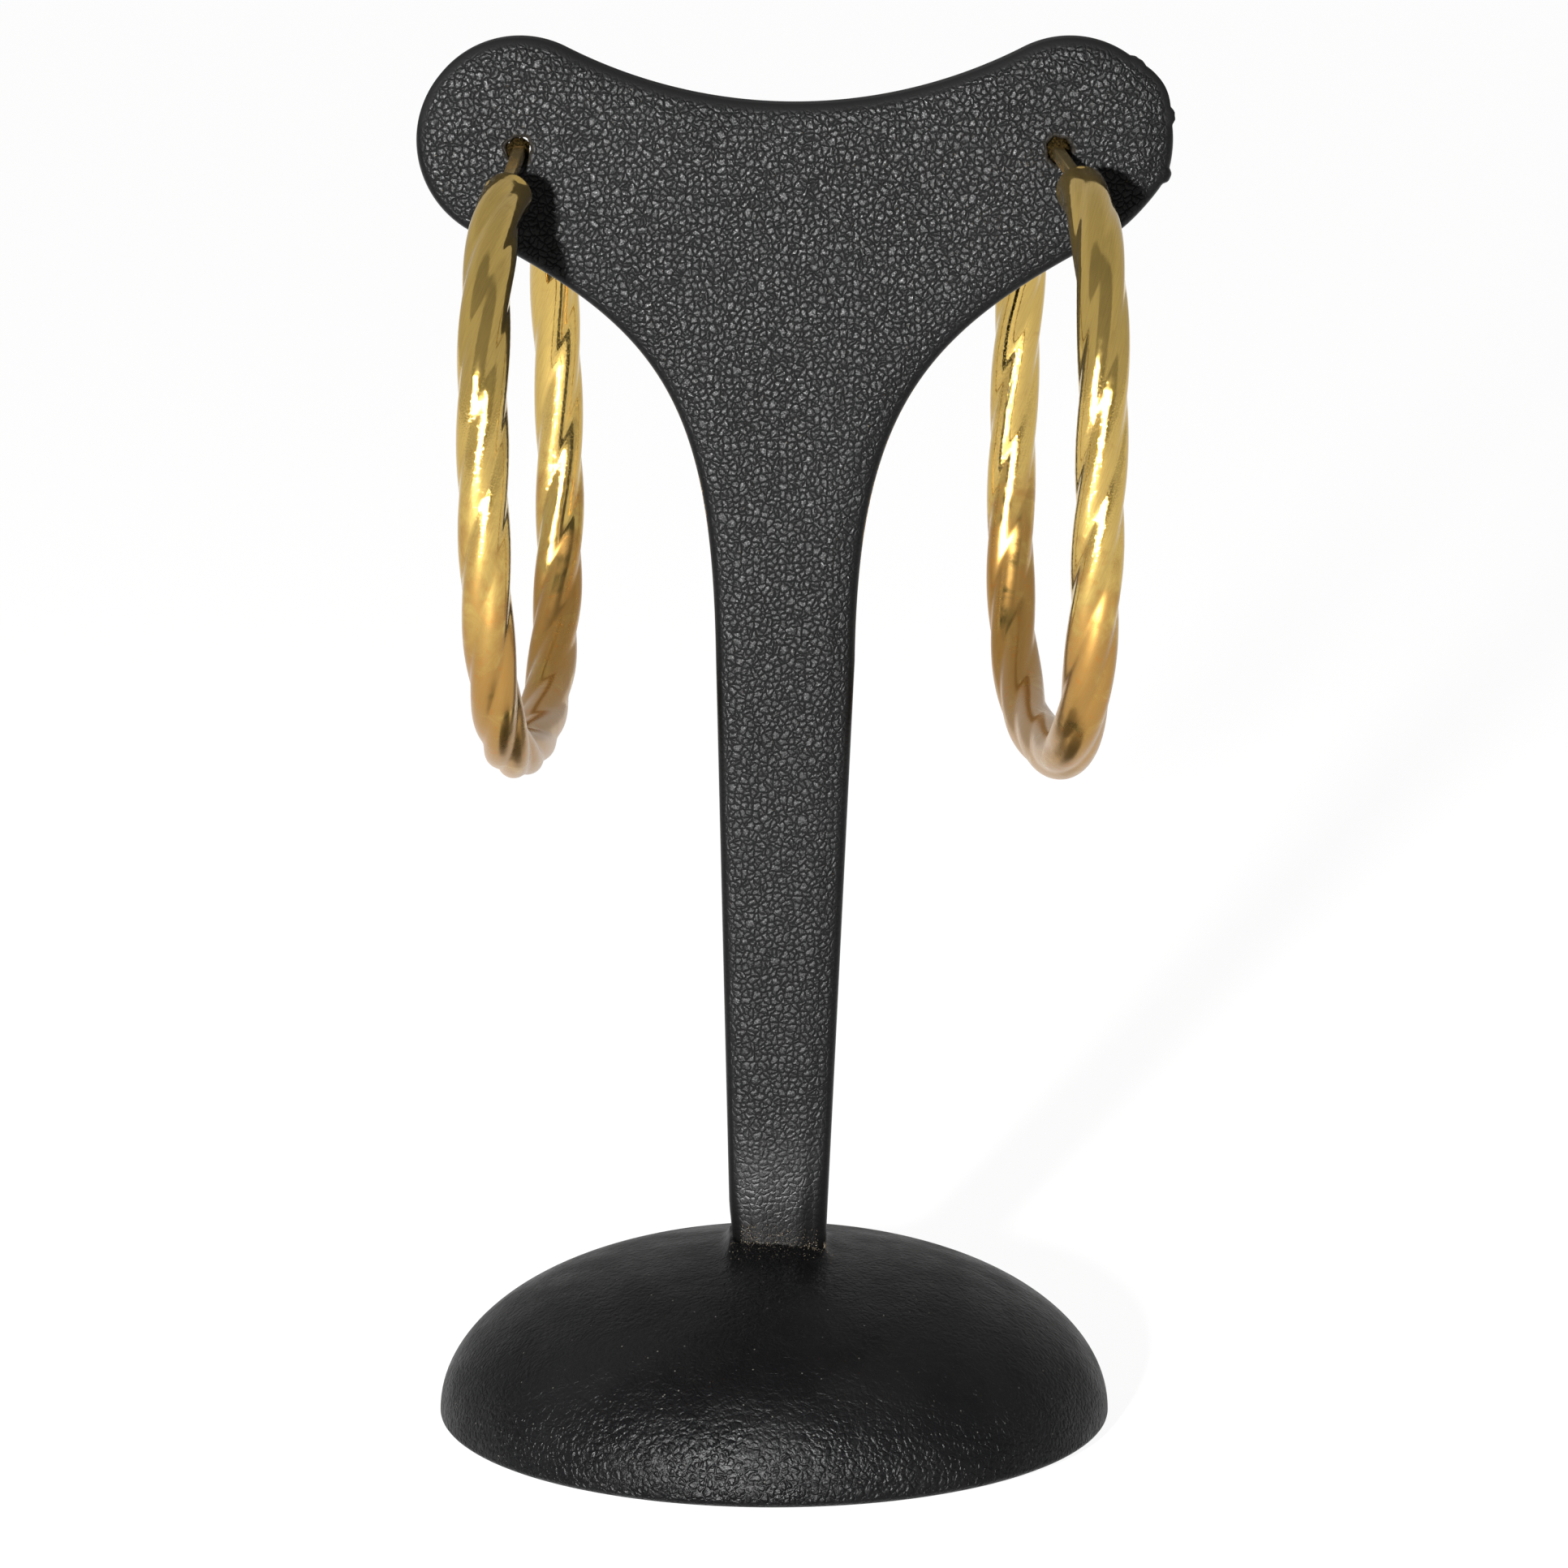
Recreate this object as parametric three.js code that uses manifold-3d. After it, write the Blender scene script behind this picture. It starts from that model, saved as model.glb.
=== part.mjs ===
// A pair of twisted gold hoop earrings hanging on a black leather-covered display stand.
// The stand is a low dome with a T-shaped board standing on it. Each hoop is a fluted
// tube bent into a slightly squared ring, closed over its gap by a raised ear wire that
// passes through a hole in the board.
// Millimetres, +Z up, +X to the viewer's right, -Y toward the viewer.
// The origin is the centre of the flat underside of the dome.

import * as THREE from 'three';
import { mergeVertices } from 'three/addons/utils/BufferGeometryUtils.js';
import Module from 'manifold-3d';

const wasm = await Module();
wasm.setup();

// Clearances
const fitGap = 0.3;             // between pieces that seat in or on each other

// Dome base
const baseRadius = 27.8;        // at its widest line
const baseFootRadius = 25.0;    // flat underside
const baseEdgeHeight = 1.0;     // height of the widest line
const baseHeight = 14.7;
const domeFullness = 2.2;       // exponent across: above 2 is fuller than an ellipse
const domeCrown = 2.0;          // exponent upward
const socketDepth = 3.0;        // pocket in the dome for the foot of the board

// Board
const standHeight = 114.5;      // top of the two lobes
const boardThickness = 5.5;
const boardEdge = 1.3;          // rounding of the covered edges
const lobeRadius = 8.25;
const lobeSpacing = 44.2;
const notchRadius = 40.6;       // hollow between the lobes
const throatHeight = 64.0;      // where the neck becomes the straight stem
const throatWidth = 11.3;
const footWidth = 7.7;
const headShift = 1.7;          // the stem leans: sideways shift of the head,
const throatShift = 0.93;       // of the throat
const footShift = 0.28;         // and of the foot, from the middle of the dome
const undersideAngle = 63;      // degrees below level where a lobe runs into the neck
const neckPull = 17.1;          // how far the neck curve keeps the lobe's direction
const throatPull = 21.2;        // how far it keeps the stem's direction
const throatFlare = 0.27;       // how far it has spread to each side over that length

// Puckers where the leather is folded round the right-hand lobe
const puckerWidth = 5;          // degrees, from tip to root
const puckerSharpness = 1.5;    // exponent of its sides: 1 is straight, above 1 is hollow
const puckers = [
  { angle: 49, rise: 0.05, fullness: 0.055 },
  { angle: 14, rise: 0.07, fullness: -0.005 },
  { angle: -20, rise: 0.065, fullness: -0.035 },
];
// angle: degrees above level, seen from the lobe's centre; rise: height of its tip and
// fullness: how far the leather stands out of the lobe's arc from there down to the next
// pucker or the neck, both as shares of lobeRadius

// Holes in the board for the ear wires
const postHoleWidth = 1.9;
const postHoleHeight = 2.1;
const postHoleDrop = 0.65;      // below the lobe's centre

// Hoop tube
const hoopRadius = 23.3;        // half the ring's centre line
const crestRadius = 2.06;       // middle of the tube to the crest of a flute
const grooveDepth = 0.3;        // crest to groove
const fluteCount = 4;
const endGap = 16.5;            // between the closed ends of the tube, over the board
const endRounding = 0.9;        // length of the rounded closing of each end

// Ear wire
const wireWidth = 1.05;
const wireThickness = 0.95;
const wireRise = 1.85;          // top of the wire above the top of the ring's centre line
const wireSeat = 1.4;           // length of wire held inside each tube end
const wireLead = 0.7;           // straight length out of each tube end before it rises
const shoulderReach = 0.35;     // how far past the board's faces the wire stays level
const wireCorner = 0.2;         // cut corners of its squared section

// The two hoops as they hang
const hoops = [
  {
    side: 'left', direction: -1, splay: 5.2, lean: -0.6, squareness: 2.45,
    holeInset: 0, rise: 0.98, sway: 0.12, twistPitch: 1.391, crestAt: 0.1065,
  },
  {
    side: 'right', direction: 1, splay: 6.2, lean: 1.75, squareness: 2.8,
    holeInset: 0.12, rise: 0.88, sway: -0.4, twistPitch: 1.493, crestAt: -0.0986,
  },
];
// splay: degrees the near side swings outward; lean: degrees the top leans to the right
// squareness: exponent of the bent ring, where 2 is a true circle
// holeInset: hole from the lobe's centre toward the middle, as a share of lobeRadius
// rise and sway: height and sideways bow of the wire's top, as shares of wireRise
// twistPitch: length of tube for one full turn of the flutes, as a share of hoopRadius
// crestAt: where a crest faces sideways, up from the ring's nearest point, in full turns

// Facets
const domeSides = 56;
const domeSteps = 9;
const rollSteps = 4;
const lobeStep = 10;            // degrees
const notchSteps = 12;
const neckSteps = 14;
const stemSteps = 3;
const edgeSteps = 3;
const holeSides = 16;
const tubeSides = 20;
const tubeSteps = 94;
const endSteps = 2;
const socketSides = 12;
const wireSteps = 30;
const lengthSteps = 120;        // for measuring along the ring
const mergeDistance = 1e-5;     // points nearer than this are one
const tangentStep = 1e-3;       // radians either side of a point on the ring
const sharpestMitre = 0.5;      // cosine that limits an inset corner

const leather = new THREE.MeshStandardMaterial({ color: 0x1b1b1c, roughness: 0.62, metalness: 0 });
const smoothLeather = new THREE.MeshStandardMaterial({ color: 0x161616, roughness: 0.7, metalness: 0 });
const gold = new THREE.MeshStandardMaterial({ color: 0xb89a4a, roughness: 0.22, metalness: 1 });
const wireGold = new THREE.MeshStandardMaterial({ color: 0x9c8648, roughness: 0.35, metalness: 1 });

const radians = THREE.MathUtils.degToRad;

// Solids

function toManifold(geometry) {
  const bare = geometry.clone();
  bare.deleteAttribute('normal');
  bare.deleteAttribute('uv');
  const merged = mergeVertices(bare, mergeDistance);
  const index = merged.index.array;
  const kept = [];
  for (let i = 0; i < index.length; i += 3) {
    const [a, b, c] = [index[i], index[i + 1], index[i + 2]];
    if (a !== b && b !== c && c !== a) kept.push(a, b, c);
  }
  return new wasm.Manifold(new wasm.Mesh({
    numProp: 3,
    vertProperties: new Float32Array(merged.attributes.position.array),
    triVerts: new Uint32Array(kept),
  }));
}

function toGeometry(solid) {
  const mesh = solid.getMesh();
  const geometry = new THREE.BufferGeometry();
  geometry.setAttribute('position', new THREE.BufferAttribute(mesh.vertProperties, 3));
  geometry.setIndex(new THREE.BufferAttribute(mesh.triVerts, 1));
  geometry.computeVertexNormals();
  return geometry;
}

function cutAway(geometry, tools) {
  let solid = toManifold(geometry);
  for (const tool of tools) solid = solid.subtract(toManifold(tool));
  return toGeometry(solid);
}

// A closed skin over rings of equal point count; each end is closed to its own middle point.
function skinRings(rings, firstMiddle, lastMiddle) {
  const sides = rings[0].length;
  const points = rings.flat();
  const first = points.push(firstMiddle) - 1;
  const last = points.push(lastMiddle) - 1;
  const index = [];
  for (let r = 0; r + 1 < rings.length; r++) {
    for (let s = 0; s < sides; s++) {
      const a = r * sides + s;
      const b = r * sides + (s + 1) % sides;
      index.push(a, b, a + sides, b, b + sides, a + sides);
    }
  }
  const top = (rings.length - 1) * sides;
  for (let s = 0; s < sides; s++) {
    const next = (s + 1) % sides;
    index.push(first, next, s);
    index.push(last, top + s, top + next);
  }
  const geometry = new THREE.BufferGeometry().setFromPoints(points);
  geometry.setIndex(index);
  return geometry;
}

// Dome base

function domeProfile() {
  const profile = [new THREE.Vector2(0, 0), new THREE.Vector2(baseFootRadius, 0)];
  for (let i = 1; i <= rollSteps; i++) {
    const turn = (i / rollSteps) * Math.PI / 2;
    profile.push(new THREE.Vector2(
      baseFootRadius + (baseRadius - baseFootRadius) * Math.sin(turn),
      baseEdgeHeight * (1 - Math.cos(turn)),
    ));
  }
  for (let i = 1; i <= domeSteps; i++) {
    const turn = (i / domeSteps) * Math.PI / 2;
    profile.push(new THREE.Vector2(
      i === domeSteps ? 0 : baseRadius * Math.cos(turn) ** (2 / domeFullness),
      baseEdgeHeight + (baseHeight - baseEdgeHeight) * Math.sin(turn) ** (2 / domeCrown),
    ));
  }
  return profile;
}

function makeBase() {
  const dome = new THREE.LatheGeometry(domeProfile(), domeSides);
  dome.rotateX(Math.PI / 2);
  const socket = new THREE.BoxGeometry(footWidth + 2 * fitGap, boardThickness + 2 * fitGap, 2 * socketDepth);
  socket.translate(footShift, 0, baseHeight);
  return cutAway(dome, [socket]);
}

// Board

const footHeight = baseHeight - socketDepth + fitGap;
const lobeHeight = standHeight - lobeRadius;
const postHoleLevel = lobeHeight - postHoleDrop;

function puckerAt(angle) {
  return puckers.reduce((sum, fold) => {
    const share = 1 - Math.abs(angle - fold.angle) / puckerWidth;
    return sum + lobeRadius * fold.rise * Math.max(share, 0) ** puckerSharpness;
  }, 0);
}

// Radius of the right-hand lobe, full or flat between its puckers
function puckeredRadius(angle) {
  for (const [i, fold] of puckers.entries()) {
    const next = puckers[i + 1]?.angle ?? -undersideAngle;
    if (angle <= fold.angle && angle >= next) {
      const share = (fold.angle - angle) / (fold.angle - next);
      return lobeRadius * (1 + fold.fullness * Math.sin(Math.PI * share));
    }
  }
  return lobeRadius;
}

// The notch arc touches both lobes: its centre, and the angle of the line from there to a lobe
const notchDrop = Math.acos((lobeSpacing / 2) / (lobeRadius + notchRadius));
const notchCentre = lobeHeight + (lobeRadius + notchRadius) * Math.sin(notchDrop);
const notchPoint = (turn) => [
  headShift + notchRadius * Math.sin(turn), notchCentre - notchRadius * Math.cos(turn),
];

function lobeAngles(puckered) {
  const last = 180 - THREE.MathUtils.radToDeg(notchDrop);
  const angles = [last];
  for (let a = -undersideAngle + lobeStep; a < last - lobeStep / 2; a += lobeStep) {
    const onPucker = puckered && puckers.some((fold) => Math.abs(a - fold.angle) < puckerWidth + 1);
    if (!onPucker) angles.push(a);
  }
  if (puckered) {
    for (const { angle } of puckers) angles.push(angle - puckerWidth, angle, angle + puckerWidth);
  }
  return angles.sort((a, b) => a - b);
}

// Half of the outline from the foot up to the notch, on the right-hand side for direction 1
// and mirrored on the left for -1. Each point carries its pucker height.
function halfOutline(direction) {
  const lobeX = headShift + direction * lobeSpacing / 2;
  const points = [];
  const add = (x, z, pucker = 0) => points.push({ x, z, pucker });

  const footX = footShift + direction * footWidth / 2;
  const throatX = throatShift + direction * throatWidth / 2;
  for (let i = 0; i < stemSteps; i++) {
    const share = i / stemSteps;
    add(THREE.MathUtils.lerp(footX, throatX, share), THREE.MathUtils.lerp(footHeight, throatHeight, share));
  }

  const start = radians(undersideAngle);
  const lobeEnd = new THREE.Vector2(
    lobeX + direction * lobeRadius * Math.cos(start),
    lobeHeight - lobeRadius * Math.sin(start),
  );
  const alongLobe = new THREE.Vector2(-direction * Math.sin(start), -Math.cos(start));
  const neck = new THREE.CubicBezierCurve(
    new THREE.Vector2(throatX, throatHeight),
    new THREE.Vector2(throatX + direction * throatFlare, throatHeight + throatPull),
    lobeEnd.clone().addScaledVector(alongLobe, neckPull),
    lobeEnd,
  );
  for (const point of neck.getPoints(neckSteps)) add(point.x, point.y);

  const puckered = direction > 0;
  for (const angle of lobeAngles(puckered)) {
    const reach = puckered ? puckeredRadius(angle) : lobeRadius;
    add(
      lobeX + direction * reach * Math.cos(radians(angle)),
      lobeHeight + reach * Math.sin(radians(angle)),
      puckered ? puckerAt(angle) : 0,
    );
  }

  const notchHalf = Math.PI / 2 - notchDrop;
  for (let i = 1; i < notchSteps; i++) {
    add(...notchPoint(direction * notchHalf * (1 - i / notchSteps)));
  }
  return points;
}

function boardOutline() {
  const [x, z] = notchPoint(0);
  return [...halfOutline(1), { x, z, pucker: 0 }, ...halfOutline(-1).reverse()];
}

// Moves each outline point inward by the same distance from both of its edges.
function insetOutline(outline, distance, puckerShare) {
  return outline.map((point, i) => {
    const before = outline[(i + outline.length - 1) % outline.length];
    const after = outline[(i + 1) % outline.length];
    const a = new THREE.Vector2(point.x - before.x, point.z - before.z).normalize();
    const b = new THREE.Vector2(after.x - point.x, after.z - point.z).normalize();
    const outward = new THREE.Vector2(a.y + b.y, -a.x - b.x).normalize();
    const mitre = 1 / Math.max(outward.dot(new THREE.Vector2(a.y, -a.x)), sharpestMitre);
    const move = point.pucker * puckerShare - distance * mitre;
    return new THREE.Vector2(point.x + outward.x * move, point.z + outward.y * move);
  });
}

function makeBoardBlank() {
  const outline = boardOutline();
  const half = boardThickness / 2;
  const sections = [];
  for (let i = 0; i <= 2 * edgeSteps + 1; i++) {
    const front = i <= edgeSteps;
    const turn = ((front ? i : i - 1 - edgeSteps) / edgeSteps) * Math.PI / 2;
    const rise = front ? Math.sin(turn) : Math.cos(turn);
    const depth = front ? Math.cos(turn) : Math.sin(turn);
    sections.push({
      y: (front ? -1 : 1) * (half - boardEdge + boardEdge * depth),
      ring: insetOutline(outline, boardEdge * (1 - rise), rise),
    });
  }
  const positions = [];
  for (const { y, ring } of sections) {
    for (const point of ring) positions.push(point.x, y, point.y);
  }
  const count = outline.length;
  const index = [];
  for (let r = 0; r + 1 < sections.length; r++) {
    for (let s = 0; s < count; s++) {
      const a = r * count + s;
      const b = r * count + (s + 1) % count;
      index.push(a, a + count, b, b, a + count, b + count);
    }
  }
  const backStart = (sections.length - 1) * count;
  for (const [a, b, c] of THREE.ShapeUtils.triangulateShape(sections[0].ring, [])) {
    index.push(a, b, c);
    index.push(backStart + a, backStart + c, backStart + b);
  }
  const geometry = new THREE.BufferGeometry();
  geometry.setAttribute('position', new THREE.Float32BufferAttribute(positions, 3));
  geometry.setIndex(index);
  return geometry;
}

const holeX = (hoop) => headShift + hoop.direction * (lobeSpacing / 2 - hoop.holeInset * lobeRadius);

function makeBoard() {
  const drills = hoops.map((hoop) => {
    const drill = new THREE.CylinderGeometry(1, 1, 2 * boardThickness, holeSides);
    drill.scale(postHoleWidth / 2, 1, postHoleHeight / 2);
    drill.translate(holeX(hoop), 0, postHoleLevel);
    return drill;
  });
  return cutAway(makeBoardBlank(), drills);
}

// Hoop, in its own frame: the ring lies in the YZ plane round the origin, nearest point at -Y.
// Angle 0 is the nearest point, 90 degrees the top and -90 degrees the bottom.

const sideways = new THREE.Vector3(1, 0, 0);
const nearEnd = Math.PI / 2 - Math.asin(endGap / 2 / hoopRadius);
const farEnd = -Math.PI - nearEnd;

function ringPoint(hoop, angle) {
  const c = Math.cos(angle);
  const s = Math.sin(angle);
  const roundness = Math.abs(c) ** hoop.squareness + Math.abs(s) ** hoop.squareness;
  const reach = hoopRadius * roundness ** (-1 / hoop.squareness);
  return new THREE.Vector3(0, -reach * c, reach * s);
}

function ringTangent(hoop, angle) {
  return ringPoint(hoop, angle + tangentStep).sub(ringPoint(hoop, angle - tangentStep)).normalize();
}

// Length of the centre line from the nearest point, negative below it
function alongRing(hoop, angle) {
  let length = 0;
  for (let i = 0; i < lengthSteps; i++) {
    const here = ringPoint(hoop, angle * i / lengthSteps);
    length += here.distanceTo(ringPoint(hoop, angle * (i + 1) / lengthSteps));
  }
  return Math.sign(angle) * length;
}

// Rounded crests with a softer crease between each two
function fluteRadius(turn) {
  const wave = Math.abs(Math.cos(turn * fluteCount / 2));
  return crestRadius - grooveDepth * (1 - wave);
}

function tubeRing(hoop, angle, shrink) {
  const centre = ringPoint(hoop, angle);
  const inward = ringTangent(hoop, angle).cross(sideways);
  const turns = alongRing(hoop, angle) / (hoop.twistPitch * hoopRadius) - hoop.crestAt;
  const twist = 2 * Math.PI * turns;
  return Array.from({ length: tubeSides }, (_, side) => {
    const turn = 2 * Math.PI * side / tubeSides;
    const radius = fluteRadius(turn) * shrink;
    return centre.clone()
      .addScaledVector(sideways, radius * Math.cos(turn + twist))
      .addScaledVector(inward, radius * Math.sin(turn + twist));
  });
}

function tubeStationList() {
  const rounding = endRounding / hoopRadius;
  const closing = [];
  for (let i = 1; i <= endSteps; i++) {
    const turn = (i / (endSteps + 1)) * Math.PI / 2;
    closing.push({ back: rounding * (1 - Math.sin(turn)), shrink: Math.sin(Math.PI / 4 + turn / 2) });
  }
  const stations = closing.map(({ back, shrink }) => ({ angle: farEnd + rounding - back, shrink }));
  for (let i = 0; i <= tubeSteps; i++) {
    const share = i / tubeSteps;
    stations.push({ angle: THREE.MathUtils.lerp(farEnd + rounding, nearEnd - rounding, share), shrink: 1 });
  }
  for (const { back, shrink } of closing.reverse()) {
    stations.push({ angle: nearEnd - rounding + back, shrink });
  }
  return stations;
}

const socketRadius = Math.hypot(wireWidth, wireThickness) / 2 + fitGap;

// Both ends of the tube: where each is, and the way out of it
function tubeEnds(hoop) {
  return {
    near: { mouth: ringPoint(hoop, nearEnd), out: ringTangent(hoop, nearEnd) },
    far: { mouth: ringPoint(hoop, farEnd), out: ringTangent(hoop, farEnd).negate() },
  };
}

// Blind hole in one end of the tube for the end of the ear wire
function wireSocket({ mouth, out }) {
  const depth = wireSeat + fitGap;
  const socket = new THREE.CylinderGeometry(socketRadius, socketRadius, 2 * depth, socketSides);
  socket.applyQuaternion(new THREE.Quaternion().setFromUnitVectors(new THREE.Vector3(0, 1, 0), out));
  socket.translate(mouth.x, mouth.y, mouth.z);
  return socket;
}

function makeHoop(hoop) {
  const rings = tubeStationList().map(({ angle, shrink }) => tubeRing(hoop, angle, shrink));
  const { near, far } = tubeEnds(hoop);
  return cutAway(skinRings(rings, far.mouth, near.mouth), [wireSocket(near), wireSocket(far)]);
}

// Ear wire, in the frame of its hoop

const wireLevel = postHoleLevel - postHoleHeight / 2 + fitGap + wireThickness / 2;

const wireTop = (hoop) => new THREE.Vector3(
  hoop.sway * wireRise, 0, hoopRadius + hoop.rise * wireRise,
);

const hangTurn = (hoop) => new THREE.Euler(
  0, radians(hoop.lean), hoop.direction * radians(hoop.splay), 'ZYX',
);

function makeEarWire(hoop) {
  const bore = new THREE.Vector3(0, 1, 0)
    .applyQuaternion(new THREE.Quaternion().setFromEuler(hangTurn(hoop)).invert());
  const shoulder = boardThickness / 2 + shoulderReach;
  const half = ({ mouth, out }, sign) => [
    mouth.clone().addScaledVector(out, -wireSeat),
    mouth,
    mouth.clone().addScaledVector(out, wireLead),
    wireTop(hoop).addScaledVector(bore, sign * shoulder),
    wireTop(hoop).addScaledVector(bore, sign * boardThickness / 4),
  ];
  const { near, far } = tubeEnds(hoop);
  const path = new THREE.CatmullRomCurve3(
    [...half(near, -1), ...half(far, 1).reverse()], false, 'centripetal',
  );
  const w = wireWidth / 2;
  const t = wireThickness / 2;
  const section = new THREE.Shape([
    [w, -t + wireCorner], [w, t - wireCorner], [w - wireCorner, t], [-w + wireCorner, t],
    [-w, t - wireCorner], [-w, -t + wireCorner], [-w + wireCorner, -t], [w - wireCorner, -t],
  ].map(([x, y]) => new THREE.Vector2(x, y)));
  return new THREE.ExtrudeGeometry(section, { steps: wireSteps, extrudePath: path, bevelEnabled: false });
}

// The whole object

function named(name, geometry, material) {
  const mesh = new THREE.Mesh(geometry, material);
  mesh.name = name;
  return mesh;
}

// Each hoop turns about the top of its wire, which lies in the board's hole.
function hangHoop(hoop) {
  const ring = new THREE.Group();
  ring.add(named(`hoop_${hoop.side}`, makeHoop(hoop), gold));
  ring.add(named(`ear_wire_${hoop.side}`, makeEarWire(hoop), wireGold));
  ring.position.copy(wireTop(hoop).negate());
  const hang = new THREE.Group();
  hang.add(ring);
  hang.rotation.copy(hangTurn(hoop));
  hang.position.set(holeX(hoop), 0, wireLevel);
  return hang;
}

const earringStand = new THREE.Group();
earringStand.add(named('stand_base', makeBase(), smoothLeather));
earringStand.add(named('stand_upright', makeBoard(), leather));
for (const hoop of hoops) earringStand.add(hangHoop(hoop));

export default earringStand;
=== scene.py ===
"""A pair of twisted gold hoop earrings on a black leather-covered display stand.

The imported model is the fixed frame. Each of its solids is replaced by a finer mesh
of the same form, with its own procedural material. Sizes are in millimetres until
a mesh is made, which is in metres.
"""

import math
import random

import bmesh
import bpy
import numpy as np
from mathutils import Euler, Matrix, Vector
from mathutils.geometry import delaunay_2d_cdt


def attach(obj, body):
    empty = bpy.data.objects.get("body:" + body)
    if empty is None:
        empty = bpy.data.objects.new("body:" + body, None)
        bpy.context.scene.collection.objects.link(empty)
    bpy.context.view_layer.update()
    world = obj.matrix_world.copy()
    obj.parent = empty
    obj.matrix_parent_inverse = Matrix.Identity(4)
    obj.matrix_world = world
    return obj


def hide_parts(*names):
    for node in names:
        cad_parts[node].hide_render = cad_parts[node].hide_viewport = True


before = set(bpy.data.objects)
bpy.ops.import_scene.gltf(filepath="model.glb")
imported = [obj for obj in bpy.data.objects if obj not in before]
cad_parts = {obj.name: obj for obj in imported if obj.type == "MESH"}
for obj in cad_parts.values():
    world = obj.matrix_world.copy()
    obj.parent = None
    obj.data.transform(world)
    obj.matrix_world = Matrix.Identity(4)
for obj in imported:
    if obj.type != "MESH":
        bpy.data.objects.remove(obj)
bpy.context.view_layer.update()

MM = 0.001

# Camera: height and distance found from the base's ellipse and the hoops' two sides
CAMERA_PLACE = (0.82, -500.0, 145.0)
CAMERA_PITCH = 10.36
PHOTO_SIZE = 1932
FOCAL_PIXELS = 7646.0
SENSOR_WIDTH = 36.0
CLIP_START = 0.01            # in metres

# Light, in metres and watts
PATCH_DIRECTION = (0.0, -0.79, 0.61)    # middle of the darker patch, above and behind the camera
PATCH_EDGE = (0.7, 0.8)      # cosines to that middle where the patch begins and is full
PATCH_LEVEL = 0.27
WALL_LEVEL = 0.63
CEILING_EDGE = (0.6, 0.9)
CEILING_LEVEL = 0.8
ROOM_COLOR = (1.0, 0.995, 0.985, 1.0)
FLASH_DISTANCE = 0.55
FLASH_HEIGHT = 0.15
FLASH_ANGLE = 15             # degrees to the left of the front
FLASH_AIM = (0, 0, 0.07)
FLASH_SIZE = 0.034
FLASH_POWER = 34.0
FLOOR_SIZE = 12.0
FLOOR_COLOR = (0.05, 0.05, 0.05, 1.0)
FLOOR_ROUGHNESS = 0.9
FLOOR_SPECULAR = 0.1
FLOOR_GLOW = 0.93

# Dome base
BASE_RADIUS = 27.8
BASE_FOOT_RADIUS = 25.0
BASE_EDGE_HEIGHT = 1.0
BASE_HEIGHT = 14.7
DOME_FULLNESS = 2.2
SOCKET_DEPTH = 3.0
FIT_GAP = 0.3
WELT_LEFT = 1.1              # rise of the leather at the two corners of the stem
WELT_RIGHT = 0.5
WELT_WIDTH = 1.9
WELT_SIDE_FALL = 4           # how much faster the welt falls at the stem's sides than in front
WELT_SHARPNESS = 1.5
WELT_RIPPLES = (             # share of the welt's height, waves each way and where they start
    {"share": 0.05, "across": 3.1, "along": 0.0, "phase": 0.7},
    {"share": 0.04, "across": 7.3, "along": 2.0, "phase": 0.0},
)
DOME_SIDES = 240
DOME_ROLL_RINGS = 10
DOME_SHOULDER_RINGS = 36
DOME_SHOULDER_TURN = 1.22    # where the shoulder ends and the evenly spaced crown begins, in radians
CROWN_STEP = 0.25
CROWN_MIDDLE = 0.2

# Dust in the crease at the stem's foot
DUST_SEED = 5
DUST_ON_STEM = 420           # crumbs
DUST_ON_DOME = 320
DUST_CLIMB = 1.6             # how far the crumbs reach up the stem
DUST_REACH = 2.4             # how far they lie out on the dome
DUST_CLEARANCE = 0.8         # width of the stem that stays free of crumbs
DUST_MARGIN = 0.3            # how much of that is at its left
DUST_OVERHANG = 0.6          # how far they lie past the stem's left side
DUST_EXTRA_WIDTH = 1.0       # how much wider than the stem they lie
STEM_CRUMB = (0.018, 0.055)  # smallest size and how much larger the largest is
DOME_CRUMB = (0.014, 0.048)
CRUMB_UNEVENNESS = (0.6, 1.2)
TUFT_FIBRES = 9
FIBRE_WIDTH = 0.025

# Board
STAND_HEIGHT = 114.5
BOARD_THICKNESS = 5.5
BOARD_EDGE = 1.3
BOARD_EDGE_RINGS = 9
FACE_ROUNDING = 0.22         # how far the front sinks from its flat middle to the rolled edge
FACE_REACH = 2.5             # how far in from the outline that sinking starts
FACE_MARGIN = 0.3
FACE_RINGS = (2.1, 1.7)      # how far in from the outline the rings of that sinking lie
OUTLINE_SMOOTHING = 5        # neighbours to each side that smooth the way inward
STRAIGHT_POINTS = 60         # points of the outline along its straights, necks, lobes and notch
NECK_POINTS = 60
LOBE_POINTS = 170
NOTCH_POINTS = 60
LOBE_RADIUS = 8.25
LOBE_SPACING = 44.2
NOTCH_RADIUS = 40.6
THROAT_HEIGHT = 64.0
THROAT_WIDTH = 11.3
FOOT_WIDTH = 7.7
HEAD_SHIFT = 1.7
THROAT_SHIFT = 0.93
FOOT_SHIFT = 0.28
UNDERSIDE_ANGLE = 63
NECK_PULL = 17.1
THROAT_PULL = 21.2
THROAT_FLARE = 0.27
FOOT_PINCH = 0.55            # the left edge turns in by this much at the foot
FOOT_PINCH_HEIGHT = 18.5
PUCKER_WIDTH = 5
PUCKER_BLUNTNESS = 0.55      # share of its height at which a pucker is cut blunt
PUCKERS = (                  # angle above level, tip height and fullness below it
    {"angle": 49, "rise": 0.05, "fullness": 0.055},
    {"angle": 14, "rise": 0.07, "fullness": -0.005},
    {"angle": -20, "rise": 0.065, "fullness": -0.035},
)
HOLE_WIDTH = 1.9
HOLE_HEIGHT = 2.1
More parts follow.
